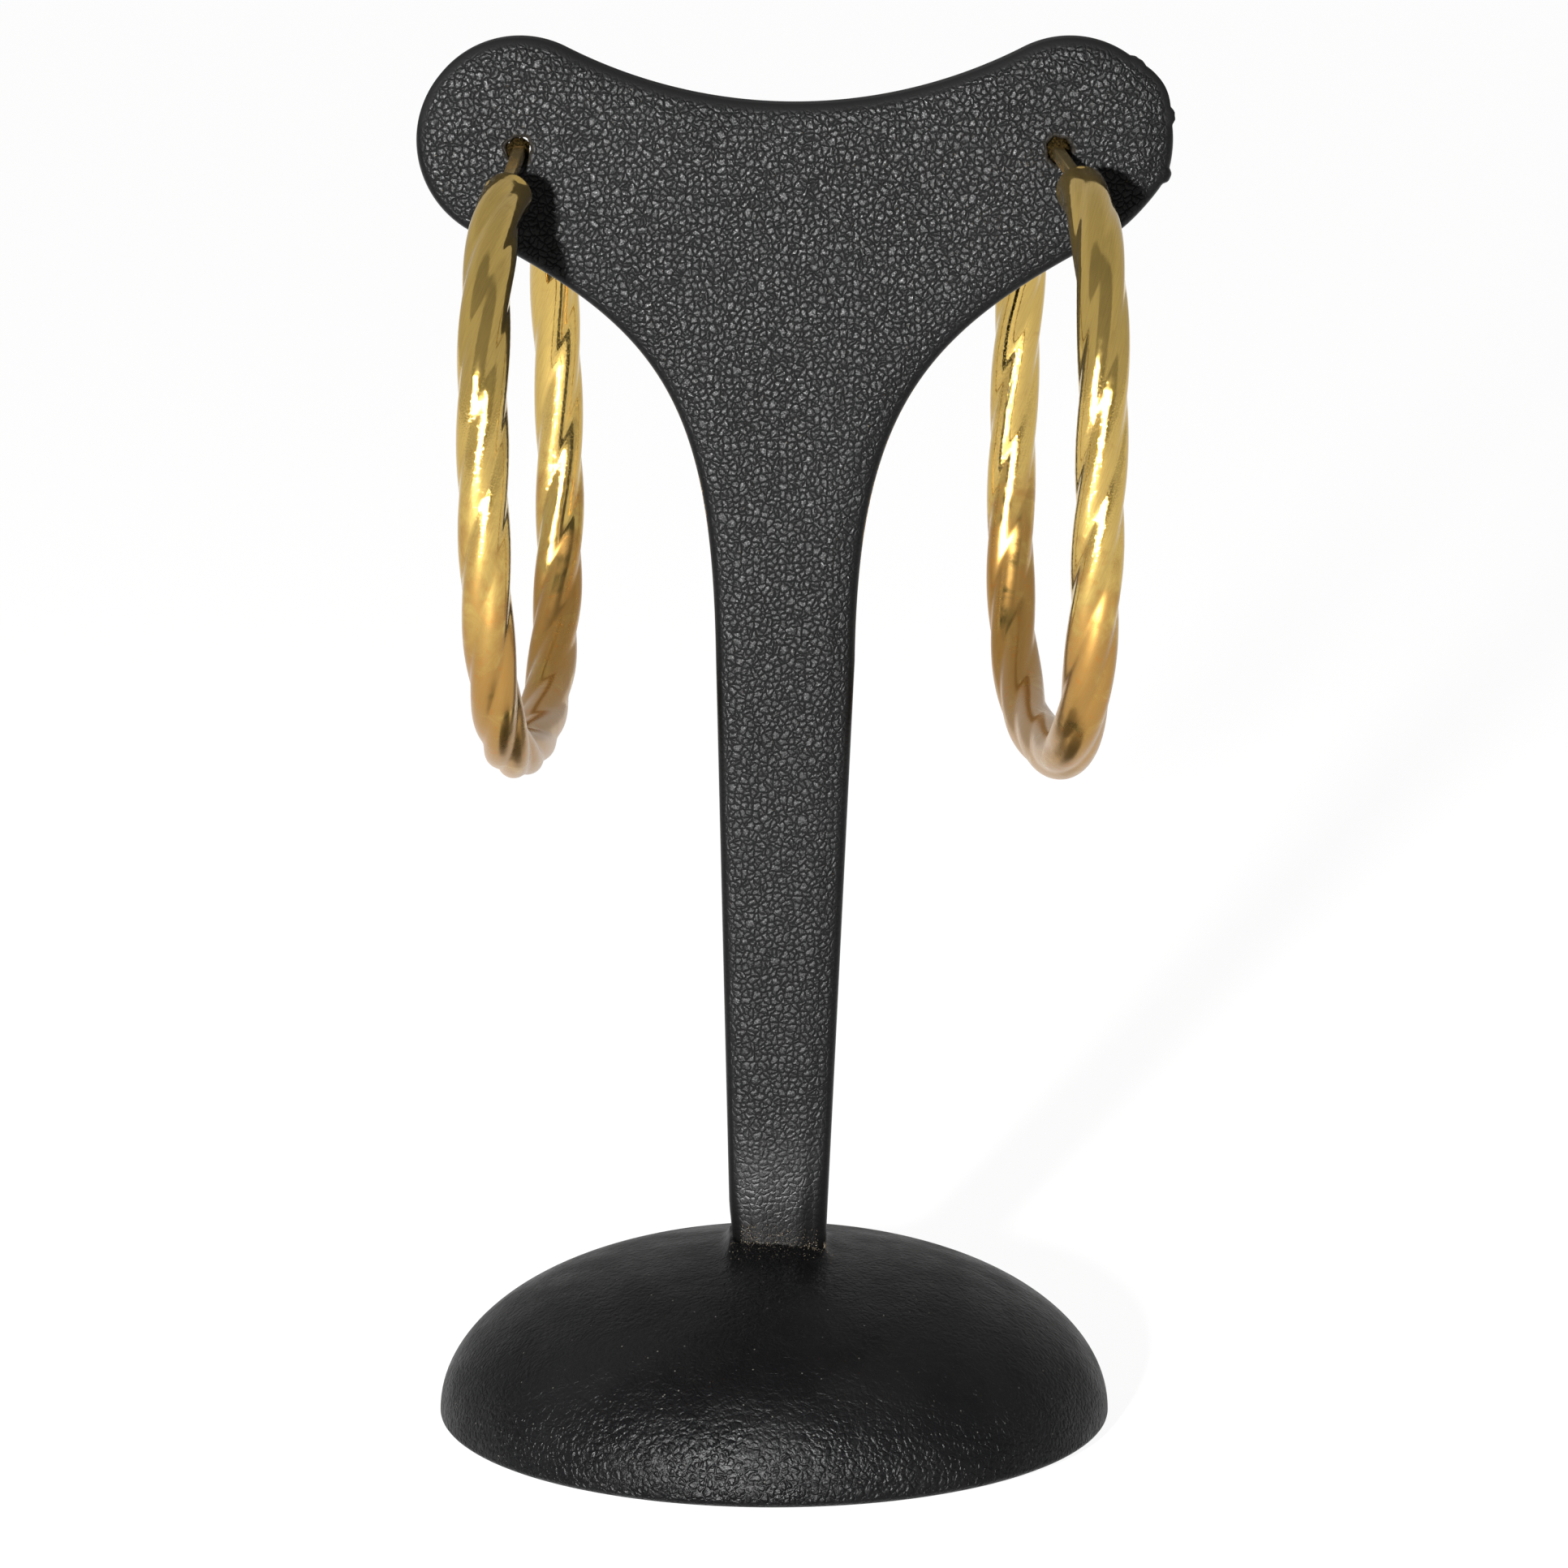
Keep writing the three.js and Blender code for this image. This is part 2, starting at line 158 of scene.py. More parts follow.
HOLE_DROP = 0.65
HOLE_FACE = 0.45             # how far past the hole the flat leather starts
HOLE_SIDES = 48
HOLE_PROFILE = (             # depth behind the face, widening and share of torn fibre
    {"depth": 0.0, "widening": HOLE_FACE, "torn": 0.0},
    {"depth": 0.0, "widening": 0.3, "torn": 0.25},
    {"depth": 0.06, "widening": 0.16, "torn": 0.7},
    {"depth": 0.25, "widening": 0.03, "torn": 1.0},
    {"depth": 0.6, "widening": 0.0, "torn": 1.0},
)
FLUFF_DEPTH = 1.9            # torn fibre in the hole: how far it lies in front of the board's middle
FLUFF_RELIEF = 0.09
FLUFF_WAVES = (              # direction and start of the waves that make it lumpy
    ((5, 3, 4), 0.4),
    ((-4, 6, 7), 1.7),
    ((9, -5, 6), 2.9),
    ((7, 9, -12), 0.9),
)

# Hoops
HOOP_RADIUS = 23.3
CREST_RADIUS = 2.06
GROOVE_DEPTH = 0.3
GROOVE_VARIATION = 0.18
FLUTES = 4
CREASE_SOFTNESS = 0.14
TWIST_DRIFT = 0.1            # slow and quick unevenness of the twist, in radians
TWIST_WAVER = 0.06
END_GAP = 16.5
END_ROUNDING = 0.9
END_FULLNESS = 0.85          # below 1 the rounded end is flatter than a half round
LIP_RADIUS = 2.03            # plain round lip at each end of a tube
LIP_LENGTH = 1.2
LIP_SLOPE = 0.5
STRAIGHT_END = 9.0           # length over which the twist dies out at each end of a tube
STRAIGHT_RATE = 0.2          # share of the twist that is left at the very end
END_SETTLE = 22.0            # length over which the near end turns to its place in the photo
END_SHIFT_REACH = 7.0        # length over which the near end bends sideways
END_DARKENING_REACH = 0.55         # length over which the brown tarnish and painted dark reflection of a tube end fade
TUBE_SIDES = 64
TUBE_STATIONS = 520
END_STATIONS = 12
WIRE_WIDTH = 1.05
WIRE_THICKNESS = 0.95
WIRE_RISE = 1.85
WIRE_SEAT = 1.4
WIRE_LEAD = 0.7
SHOULDER_REACH = 0.35
WIRE_CORNER = 0.2
WIRE_STEPS = 16
# Share of the wire's length over which its ends take the tube ends' brown tarnish and painted dark
# reflection
WIRE_END_DARKENING_SHARE = 0.12
HOOPS = (
    {"side": "left", "direction": -1, "splay": 5.2, "lean": -0.6, "squareness": 2.45,
     "hole_inset": 0.0, "rise": 0.98, "sway": 0.12, "pitch": 1.391, "crest_at": 0.1065,
     "end_turn": 0, "end_shift": 0.45, "fluff_shift": (-0.08, 0.0), "fluff_size": (0.92, 0.75, 0.95)},
    {"side": "right", "direction": 1, "splay": 6.2, "lean": 1.75, "squareness": 2.8,
     "hole_inset": 0.12, "rise": 0.88, "sway": -0.4, "pitch": 1.493, "crest_at": -0.0986,
     "end_turn": 45, "end_shift": -0.28, "fluff_shift": (-0.05, 0.15), "fluff_size": (0.95, 0.75, 0.95)},
)

# Leather: sizes and reliefs in millimetres, colours in linear light
GRAIN_WARP = 1.3             # how far noise pushes the pebbles about, in pebbles
BOARD_PEBBLE = 0.54
BOARD_PEBBLE_RELIEF = 0.06
BOARD_CRINKLE = 0.14
BOARD_CRINKLE_RELIEF = 0.055
BOARD_PATCHES = 9.0
BOARD_SPECULAR = 0.09
SMOOTH_FOOT = (16, 30)       # heights between which the stem goes from smooth to pebbled
SHINE_HEIGHTS = (45, 100)    # heights between which the pebbles get shinier
PEBBLE_SHINE = (0.42, 0.31)  # their roughness at those heights
RIM_HEIGHTS = (105, 109)     # heights between which the rolled edge gets duller
RIM_SHINE = (0.28, 0.8)
HOLE_ROUGHNESS = 0.75
# Valleys between pebbles: a darker colour that is painted shade
VALLEY_SHADE_COLOR = (0.0005, 0.0005, 0.0005, 1)
PEBBLE_COLOR = (0.0022, 0.0022, 0.0023, 1)
BASE_PEBBLE = 0.62
BASE_PEBBLE_RELIEF = 0.075
BASE_PEBBLE_HEIGHTS = (2.0, 9.0)
BASE_CREASES = 1.3
BASE_CREASE_RELIEF = 0.16
BASE_CRINKLE = 0.22
BASE_CRINKLE_RELIEF = 0.035
BASE_CLOUDS = 11.0
BASE_SHINE_PATCHES = 4.0
BASE_SHINE = (0.34, 0.46)
BASE_SPECULAR = 0.06
BASE_DARK = (0.0005, 0.0005, 0.0006, 1)
BASE_LIGHT = (0.0012, 0.0012, 0.0013, 1)
SPECK_SPACING = 1.1
SPECK_SHARE = (0.075, 0.04)
SPECK_COLOR = (0.022, 0.021, 0.018, 1)

# Torn fibre and dust
FIBRE_SIZE = 0.25
FIBRE_DARK = (0.0006, 0.0005, 0.0003, 1)
FIBRE_LIGHT = (0.006, 0.0042, 0.0018, 1)
FLUFF = {"size": 0.15, "detail": 3.0, "grit": 0.7, "relief": 0.09, "roughness": 0.95,
         "specular": 0.0, "colors": (FIBRE_DARK, (0.007, 0.0045, 0.0014, 1))}
DUST = {"size": 0.15, "detail": 2.0, "grit": 0.5, "relief": 0.02, "roughness": 0.9,
        "specular": 0.1, "colors": ((0.01, 0.008, 0.0055, 1), (0.042, 0.034, 0.023, 1))}

# Gold
TUBE_GOLD = {"color": (0.535, 0.375, 0.108, 1), "shine": (0.065, 0.28), "tarnish": (0.0, 0.46)}
WIRE_GOLD = {"color": (0.4, 0.31, 0.15, 1), "shine": (0.2, 0.4), "tarnish": (0.15, 0.15)}
STAIN_COLOR = (0.35, 0.19, 0.05, 1)
STREAK_COLOR = (0.36, 0.23, 0.08, 1)
SPOT_COLOR = (0.42, 0.16, 0.03, 1)
# Tube and wire ends: brown tarnish, darkened further by a painted dark reflection
END_TARNISH_AND_REFLECTION_COLOR = (0.12, 0.068, 0.03, 1)
STAIN_SIZE = 3.2
SPOT_SIZE = 0.75
HAZE_SIZE = 2.1
PIT_SIZE = 0.13
DENT_SIZE = 2.6
DENT_RELIEF = 0.05
STREAK_RELIEF = 0.0015
PIT_RELIEF = 0.005
STREAK_STRETCH = 0.12        # how drawn out the polishing streaks are along the tube
STREAK_SCALE = 9.0
FLOW_AROUND = 12             # texture units round a tube, and millimetres to a unit along it
FLOW_LENGTH = 2
TARNISH_HEIGHTS = (60, 88)
PITS_BELOW = (70, 78)        # heights where the pitted band begins and ends
PITS_ABOVE = (96, 86)
GOLD_METALLIC = 0.985        # the rest shows as a thin dull film

# Places that follow from the sizes above
LOBE_HEIGHT = STAND_HEIGHT - LOBE_RADIUS
NOTCH_DROP = math.acos((LOBE_SPACING / 2) / (LOBE_RADIUS + NOTCH_RADIUS))
NOTCH_CENTRE = LOBE_HEIGHT + (LOBE_RADIUS + NOTCH_RADIUS) * math.sin(NOTCH_DROP)
HOLE_LEVEL = LOBE_HEIGHT - HOLE_DROP
FOOT_HEIGHT = BASE_HEIGHT - SOCKET_DEPTH + FIT_GAP
WIRE_LEVEL = HOLE_LEVEL - HOLE_HEIGHT / 2 + FIT_GAP + WIRE_THICKNESS / 2
NEAR_END = math.pi / 2 - math.asin(END_GAP / 2 / HOOP_RADIUS)
FAR_END = -math.pi - NEAR_END


# Camera and light

def make_camera():
    data = bpy.data.cameras.new("camera")
    data.sensor_fit = "HORIZONTAL"
    data.sensor_width = SENSOR_WIDTH
    data.lens = FOCAL_PIXELS / PHOTO_SIZE * SENSOR_WIDTH
    data.clip_start = CLIP_START
    camera = bpy.data.objects.new("camera", data)
    camera.location = Vector(CAMERA_PLACE) * MM
    camera.rotation_euler = (math.radians(90 - CAMERA_PITCH), 0, 0)
    bpy.context.scene.collection.objects.link(camera)
    bpy.context.scene.camera = camera


def add(tree, kind, inputs=None, **settings):
    """A node with its settings, and its inputs given as values or sockets."""
    node = tree.nodes.new(kind)
    for key, value in settings.items():
        setattr(node, key, value)
    for key, value in (inputs or {}).items():
        if isinstance(value, bpy.types.NodeSocket):
            tree.links.new(value, node.inputs[key])
        else:
            node.inputs[key].default_value = value
    return node


def math_node(tree, operation, a, b):
    return add(tree, "ShaderNodeMath", {0: a, 1: b}, operation=operation).outputs[0]


def smooth_range(tree, value, low, high, to_low=0.0, to_high=1.0):
    """Eases from to_low at low to to_high at high."""
    inputs = {"Value": value, "From Min": low, "From Max": high, "To Min": to_low, "To Max": to_high}
    return add(tree, "ShaderNodeMapRange", inputs, interpolation_type="SMOOTHSTEP").outputs[0]


def mix_color(tree, factor, a, b):
    return add(tree, "ShaderNodeMix", {0: factor, 6: a, 7: b}, data_type="RGBA").outputs[2]


def mix_value(tree, factor, a, b):
    return add(tree, "ShaderNodeMix", {0: factor, 2: a, 3: b}).outputs[0]


def noise(tree, vector, size, detail=2.0, roughness=0.5, distortion=0.0, output=0):
    """Noise whose features measure about size millimetres."""
    inputs = {"Vector": vector, "Scale": 1 / (size * MM), "Detail": detail,
              "Roughness": roughness, "Distortion": distortion}
    return add(tree, "ShaderNodeTexNoise", inputs).outputs[output]


def light_room():
    """White surroundings with a darker patch behind the camera, and one small flash."""
    world = bpy.data.worlds.new("studio")
    world.use_nodes = True
    tree = world.node_tree
    tree.nodes.clear()
    direction = add(tree, "ShaderNodeTexCoord").outputs["Generated"]
    front = add(tree, "ShaderNodeVectorMath", {0: direction, 1: PATCH_DIRECTION},
                operation="DOT_PRODUCT").outputs["Value"]
    upward = add(tree, "ShaderNodeSeparateXYZ", {0: direction}).outputs[2]
    walls = smooth_range(tree, front, *PATCH_EDGE, WALL_LEVEL, PATCH_LEVEL)
    ceiling = smooth_range(tree, upward, *CEILING_EDGE, 1.0, CEILING_LEVEL)
    level = math_node(tree, "MULTIPLY", walls, ceiling)
    seen = add(tree, "ShaderNodeLightPath").outputs["Is Camera Ray"]
    strength = mix_value(tree, seen, level, 1.0)
    background = add(tree, "ShaderNodeBackground", {"Color": ROOM_COLOR, "Strength": strength})
    output = add(tree, "ShaderNodeOutputWorld")
    tree.links.new(background.outputs[0], output.inputs[0])
    bpy.context.scene.world = world
    bpy.context.scene.view_settings.view_transform = "Standard"

    flash = bpy.data.lights.new("flash", "AREA")
    flash.shape = "DISK"
    flash.size = FLASH_SIZE
    flash.energy = FLASH_POWER
    place = bpy.data.objects.new("flash", flash)
    turn = math.radians(FLASH_ANGLE)
    place.location = (-FLASH_DISTANCE * math.sin(turn), -FLASH_DISTANCE * math.cos(turn), FLASH_HEIGHT)
    aim = Vector(FLASH_AIM) - place.location
    place.rotation_euler = aim.to_track_quat("-Z", "Y").to_euler()
    bpy.context.scene.collection.objects.link(place)


def make_floor():
    bpy.ops.mesh.primitive_plane_add(size=FLOOR_SIZE, location=(0, 0, 0))
    floor = bpy.context.object
    floor.name = "floor"
    material = bpy.data.materials.new("floor")
    material.use_nodes = True
    shader = material.node_tree.nodes["Principled BSDF"]
    shader.inputs["Base Color"].default_value = FLOOR_COLOR
    shader.inputs["Roughness"].default_value = FLOOR_ROUGHNESS
    shader.inputs["Specular IOR Level"].default_value = FLOOR_SPECULAR
    shader.inputs["Emission Color"].default_value = (1.0, 1.0, 1.0, 1.0)
    shader.inputs["Emission Strength"].default_value = FLOOR_GLOW
    floor.data.materials.append(material)


# Materials

def new_material(name):
    """An empty material: its node tree, its shader, and the object coordinates."""
    material = bpy.data.materials.new(name)
    material.use_nodes = True
    tree = material.node_tree
    shader = tree.nodes["Principled BSDF"]
    position = add(tree, "ShaderNodeTexCoord").outputs["Object"]
    return material, tree, shader, position


def attribute(tree, name):
    """A value that the mesh holds for each of its points."""
    return add(tree, "ShaderNodeAttribute", attribute_name=name).outputs["Fac"]


def at_height(tree, position, heights, to_low=0.0, to_high=1.0):
    """Eases from to_low to to_high between two heights in millimetres."""
    height = add(tree, "ShaderNodeSeparateXYZ", {0: position}).outputs[2]
    return smooth_range(tree, height, heights[0] * MM, heights[1] * MM, to_low, to_high)


def bump(tree, height, relief, normal=None):
    """Raises the surface where height is 1 by relief millimetres."""
    inputs = {"Height": height, "Distance": relief * MM}
    if normal:
        inputs["Normal"] = normal
    return add(tree, "ShaderNodeBump", inputs).outputs[0]


def connect(tree, shader, **sockets):
    """Links the shader's colour, roughness and normal, as far as they are given."""
    names = {"color": "Base Color", "roughness": "Roughness", "normal": "Normal"}
    for key, socket in sockets.items():
        tree.links.new(socket, shader.inputs[names[key]])


def pebbles(tree, position, size, flat=False):
    """Leather grain: distance from the nearest valley between pebbles, in pebble sizes."""
    shift = noise(tree, position, size * 1.3, 2.0, output=1)
    pushed = add(tree, "ShaderNodeVectorMath", {0: shift, 1: (0.5, 0.5, 0.5)}, operation="SUBTRACT")
    inputs = {0: pushed.outputs[0], "Scale": GRAIN_WARP * size * MM}
    scaled = add(tree, "ShaderNodeVectorMath", inputs, operation="SCALE")
    place = add(tree, "ShaderNodeVectorMath", {0: position, 1: scaled.outputs[0]}).outputs[0]
    if flat:
        parts = add(tree, "ShaderNodeSeparateXYZ", {0: place})
        place = add(tree, "ShaderNodeCombineXYZ", {0: parts.outputs[0], 1: parts.outputs[2]}).outputs[0]
    inputs = {"Vector": place, "Scale": 1 / (size * MM), "Randomness": 1.0}
    return add(tree, "ShaderNodeTexVoronoi", inputs, feature="DISTANCE_TO_EDGE",
               voronoi_dimensions="2D" if flat else "3D").outputs["Distance"]


def board_leather():
    """Pebbled leather with shiny pebbles and dull valleys of painted shade, smooth at the rim and the foot.
    """
    material, tree, shader, position = new_material("board_leather")
    rim = attribute(tree, "rim")
    torn = attribute(tree, "hole")
    edge = pebbles(tree, position, BOARD_PEBBLE, flat=True)
    grain = smooth_range(tree, edge, 0.0, 0.15)
    domes = smooth_range(tree, edge, -0.05, 0.42)
    crinkle = noise(tree, position, BOARD_CRINKLE, 2.0, 0.6, 0.6)
    patches = noise(tree, position, BOARD_PATCHES, 3.0)
    face = math_node(tree, "MULTIPLY", smooth_range(tree, rim, 0.3, 0.85, 1.0, 0.08),
                     at_height(tree, position, SMOOTH_FOOT, 0.12, 1.0))
    tops = math_node(tree, "MULTIPLY", grain, face)
    rough_tops = math_node(tree, "MULTIPLY", crinkle, math_node(tree, "ADD", tops, 0.15))
    coarse = bump(tree, math_node(tree, "MULTIPLY", domes, face), BOARD_PEBBLE_RELIEF)
    fine = bump(tree, rough_tops, BOARD_CRINKLE_RELIEF, normal=coarse)

    # Painted shade: the colour is darker in the valleys between pebbles than on their worn tops, and the
    # smooth rim and foot take the same darker valley colour.
    wear_and_valley_shade = math_node(tree, "MULTIPLY", tops, smooth_range(tree, patches, 0.3, 0.75, 0.5, 1.0))
    color = mix_color(tree, wear_and_valley_shade, VALLEY_SHADE_COLOR, PEBBLE_COLOR)
    fibre = mix_color(tree, noise(tree, position, FIBRE_SIZE, 4.0, 0.7), FIBRE_DARK, FIBRE_LIGHT)
    color = mix_color(tree, torn, color, fibre)

    shine = at_height(tree, position, SHINE_HEIGHTS, *PEBBLE_SHINE)
    roughness = smooth_range(tree, tops, 0.1, 0.9, 1.0, shine)
    smooth = math_node(tree, "MAXIMUM", smooth_range(tree, rim, 0.35, 0.8),
                       at_height(tree, position, SMOOTH_FOOT, 1.0, 0.0))
    roughness = mix_value(tree, smooth, roughness, at_height(tree, position, RIM_HEIGHTS, *RIM_SHINE))
    roughness = mix_value(tree, smooth_range(tree, torn, 0.0, 0.5), roughness, HOLE_ROUGHNESS)
    connect(tree, shader, color=color, roughness=roughness, normal=fine)
    shader.inputs["Specular IOR Level"].default_value = BOARD_SPECULAR
    return material


def base_leather():
    """Leather stretched smooth over the dome, pebbled only near its edge, with dust specks."""
    material, tree, shader, position = new_material("base_leather")
    stretched = at_height(tree, position, BASE_PEBBLE_HEIGHTS, 1.0, 0.35)
    grain = smooth_range(tree, pebbles(tree, position, BASE_PEBBLE), 0.0, 0.3)
    crinkle = noise(tree, position, BASE_CRINKLE, 3.0, 0.6, 0.8)
    creases = noise(tree, position, BASE_CREASES, 4.0, 0.55, 1.5)
    coarse = bump(tree, math_node(tree, "MULTIPLY", grain, stretched), BASE_PEBBLE_RELIEF)
    middle = bump(tree, creases, BASE_CREASE_RELIEF, normal=coarse)
    fine = bump(tree, crinkle, BASE_CRINKLE_RELIEF, normal=middle)

    cells = add(tree, "ShaderNodeTexVoronoi", {"Vector": position, "Scale": 1 / (SPECK_SPACING * MM)})
    specks = smooth_range(tree, cells.outputs["Distance"], *SPECK_SHARE)
    clouds = smooth_range(tree, noise(tree, position, BASE_CLOUDS, 3.0), 0.35, 0.7)
    color = mix_color(tree, specks, mix_color(tree, clouds, BASE_DARK, BASE_LIGHT), SPECK_COLOR)
    roughness = smooth_range(tree, noise(tree, position, BASE_SHINE_PATCHES, 3.0), 0.3, 0.7, *BASE_SHINE)
    connect(tree, shader, color=color, roughness=roughness, normal=fine)
    shader.inputs["Specular IOR Level"].default_value = BASE_SPECULAR
    return material


def gold(name, look):
    """Worn gold, tarnished toward the bottom, pitted in its middle, and at its ends brown with tarnish and
    darkened by a painted dark reflection.
    """
    material, tree, shader, position = new_material(name)
    flow = add(tree, "ShaderNodeUVMap", uv_map="UVMap").outputs[0]
    stretched = add(tree, "ShaderNodeMapping", {"Vector": flow, "Scale": (STREAK_STRETCH, 1.0, 1.0)})
    inputs = {"Vector": stretched.outputs[0], "Scale": STREAK_SCALE, "Detail": 4.0}
    streaks = add(tree, "ShaderNodeTexNoise", inputs).outputs[0]
    at_top, at_bottom = look["tarnish"]
    lowness = at_height(tree, position, TARNISH_HEIGHTS, at_bottom, at_top)
    patches = noise(tree, position, STAIN_SIZE, 4.0, 0.6, 0.6)
    spots = noise(tree, position, SPOT_SIZE, 3.0)

    stain = smooth_range(tree, math_node(tree, "ADD", patches, lowness), 0.6, 0.92)
    spotted = math_node(tree, "MULTIPLY", smooth_range(tree, spots, 0.58, 0.7), lowness)
    streaked = smooth_range(tree, streaks, 0.35, 0.7, 0.0, 0.35)
    # Ends: brown tarnish plus a painted dark reflection
    end_tarnish_and_reflection = smooth_range(tree, attribute(tree, "end"), 0.2, 0.6)
    color = mix_color(tree, stain, look["color"], STAIN_COLOR)
    color = mix_color(tree, streaked, color, STREAK_COLOR)
    color = mix_color(tree, spotted, color, SPOT_COLOR)
    color = mix_color(tree, end_tarnish_and_reflection, color, END_TARNISH_AND_REFLECTION_COLOR)

    haze = smooth_range(tree, noise(tree, position, HAZE_SIZE, 5.0, 0.65), 0.42, 0.72, 0.0, 0.35)
    roughness = mix_value(tree, math_node(tree, "MAXIMUM", stain, haze), *look["shine"])
    band = math_node(tree, "MULTIPLY", at_height(tree, position, PITS_BELOW),
                     at_height(tree, position, PITS_ABOVE))
    pits = smooth_range(tree, noise(tree, position, PIT_SIZE, 2.0, 0.6), 0.5, 0.7)
    pits = math_node(tree, "MULTIPLY", pits, smooth_range(tree, band, 0.0, 1.0, 0.15, 1.0))
    coarse = bump(tree, noise(tree, position, DENT_SIZE, 2.0), DENT_RELIEF)
    lines = bump(tree, streaks, STREAK_RELIEF, normal=coarse)
    fine = bump(tree, pits, PIT_RELIEF, normal=lines)
    connect(tree, shader, color=color, roughness=roughness, normal=fine)
    shader.inputs["Metallic"].default_value = GOLD_METALLIC
    return material


def dull(name, look):
    """Dull crumbs or fibre, mottled between two colours."""
    material, tree, shader, position = new_material(name)
    tone = noise(tree, position, look["size"], look["detail"], look["grit"])
    color = mix_color(tree, smooth_range(tree, tone, 0.35, 0.65), *look["colors"])
    connect(tree, shader, color=color, normal=bump(tree, tone, look["relief"]))
    shader.inputs["Roughness"].default_value = look["roughness"]
    shader.inputs["Specular IOR Level"].default_value = look["specular"]
    return material


# Meshes

def make_piece(name, points, faces, material, replaces=(), uvs=None, attributes=None):
    """A smooth mesh from points in millimetres, riding on the stand."""
    mesh = bpy.data.meshes.new(name)
    mesh.from_pydata([tuple(p) for p in np.asarray(points) * MM], [], [tuple(f) for f in faces])
    mesh.polygons.foreach_set("use_smooth", [True] * len(mesh.polygons))
    if uvs is not None:
        layer = mesh.uv_layers.new(name="UVMap")
        flat = np.concatenate([np.asarray(corners, float).ravel() for corners in uvs])
        layer.data.foreach_set("uv", flat)
    for key, values in (attributes or {}).items():
        mesh.attributes.new(key, "FLOAT", "POINT").data.foreach_set("value", np.asarray(values, float))
    work = bmesh.new()
    work.from_mesh(mesh)
    bmesh.ops.recalc_face_normals(work, faces=work.faces)
    work.to_mesh(mesh)
    work.free()
    mesh.materials.append(material)
    piece = bpy.data.objects.new(name, mesh)
    bpy.context.scene.collection.objects.link(piece)
    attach(piece, "root")
    if replaces:
        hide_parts(*replaces)


def ring_quads(rings, sides, start=0):
    """Quads between rings of points that close on themselves."""
    faces = []
    for r in range(rings - 1):
        for s in range(sides):
            a = start + r * sides + s
            b = start + r * sides + (s + 1) % sides
            faces.append((a, b, b + sides, a + sides))
    return faces


def skinned(rings):
    """Points and faces of a tube through rings, each end closed to its own middle."""
    count, sides = len(rings), len(rings[0])
    points = np.concatenate([np.concatenate(rings), [rings[0].mean(0), rings[-1].mean(0)]])
    faces = ring_quads(count, sides)
    first, last = count * sides, count * sides + 1
    top = (count - 1) * sides
    for s in range(sides):
        following = (s + 1) % sides
        faces.append((first, following, s))
        faces.append((last, top + s, top + following))
    return points, faces


# Dome

def dome_height(x, y):
    """Height of the dome's leather, which bunches up round the stem, most at its left."""
    radius = np.minimum(np.hypot(x, y) / BASE_RADIUS, 1)
    height = BASE_EDGE_HEIGHT + (BASE_HEIGHT - BASE_EDGE_HEIGHT) * np.sqrt(1 - radius ** DOME_FULLNESS)
    past_side = np.maximum(np.abs(x - FOOT_SHIFT) - FOOT_WIDTH / 2, 0)
    past_face = np.maximum(np.abs(y) - BOARD_THICKNESS / 2, 0)
    away = np.hypot(WELT_SIDE_FALL * past_side, past_face)
    across = np.clip((x - FOOT_SHIFT) / FOOT_WIDTH + 0.5, 0, 1)
    ripple = 1 + sum(wave["share"] * np.sin(x * wave["across"] + y * wave["along"] + wave["phase"])
                     for wave in WELT_RIPPLES)
    welt = WELT_LEFT + (WELT_RIGHT - WELT_LEFT) * across
    return height + welt * ripple * np.exp(-(away / WELT_WIDTH) ** WELT_SHARPNESS)


def make_dome(material):
    """The dome from the middle of its underside, round its foot and shoulder, to its crown."""
    rolled = [(BASE_FOOT_RADIUS + (BASE_RADIUS - BASE_FOOT_RADIUS) * math.sin(turn),
               BASE_EDGE_HEIGHT * (1 - math.cos(turn)))
              for turn in np.linspace(0, math.pi / 2, DOME_ROLL_RINGS)[:-1]]
    underside = [(BASE_FOOT_RADIUS * share, 0.0) for share in (0.3, 0.7, 0.95)]
    shoulder = [BASE_RADIUS * math.cos(turn) ** (2 / DOME_FULLNESS)
                for turn in np.linspace(0, DOME_SHOULDER_TURN, DOME_SHOULDER_RINGS)]
    crown = np.arange(shoulder[-1], CROWN_MIDDLE, -CROWN_STEP)[1:]
    around = np.linspace(0, 2 * math.pi, DOME_SIDES, endpoint=False)
    rings = []
    for radius, height in underside + rolled:
        rings.append(np.stack([radius * np.cos(around), radius * np.sin(around),
                               np.full(DOME_SIDES, height)], axis=1))
    for radius in [*shoulder, *crown]:
        x, y = radius * np.cos(around), radius * np.sin(around)
        rings.append(np.stack([x, y, dome_height(x, y)], axis=1))
    points, faces = skinned(rings)
    make_piece("dome_leather", points, faces, material, ["stand_base"])


# Board

def pucker_at(angle):
    """How far the crumpled edge of the right lobe stands out at an angle."""
    total = 0.0
    for fold in PUCKERS:
        share = max(1 - abs(angle - fold["angle"]) / PUCKER_WIDTH, 0)
        total += LOBE_RADIUS * fold["rise"] * min(share, PUCKER_BLUNTNESS)
    return total


def puckered_radius(angle):
    """Radius of the right lobe, which bulges or is flat between its puckers."""
    stops = [fold["angle"] for fold in PUCKERS[1:]] + [-UNDERSIDE_ANGLE]
    for fold, stop in zip(PUCKERS, stops):
        if stop <= angle <= fold["angle"]:
            share = (fold["angle"] - angle) / (fold["angle"] - stop)
            return LOBE_RADIUS * (1 + fold["fullness"] * math.sin(math.pi * share))
    return LOBE_RADIUS


def bezier(a, b, c, d, steps):
    t = np.linspace(0, 1, steps + 1)[:, None]
    return (1 - t) ** 3 * a + 3 * (1 - t) ** 2 * t * b + 3 * (1 - t) * t ** 2 * c + t ** 3 * d


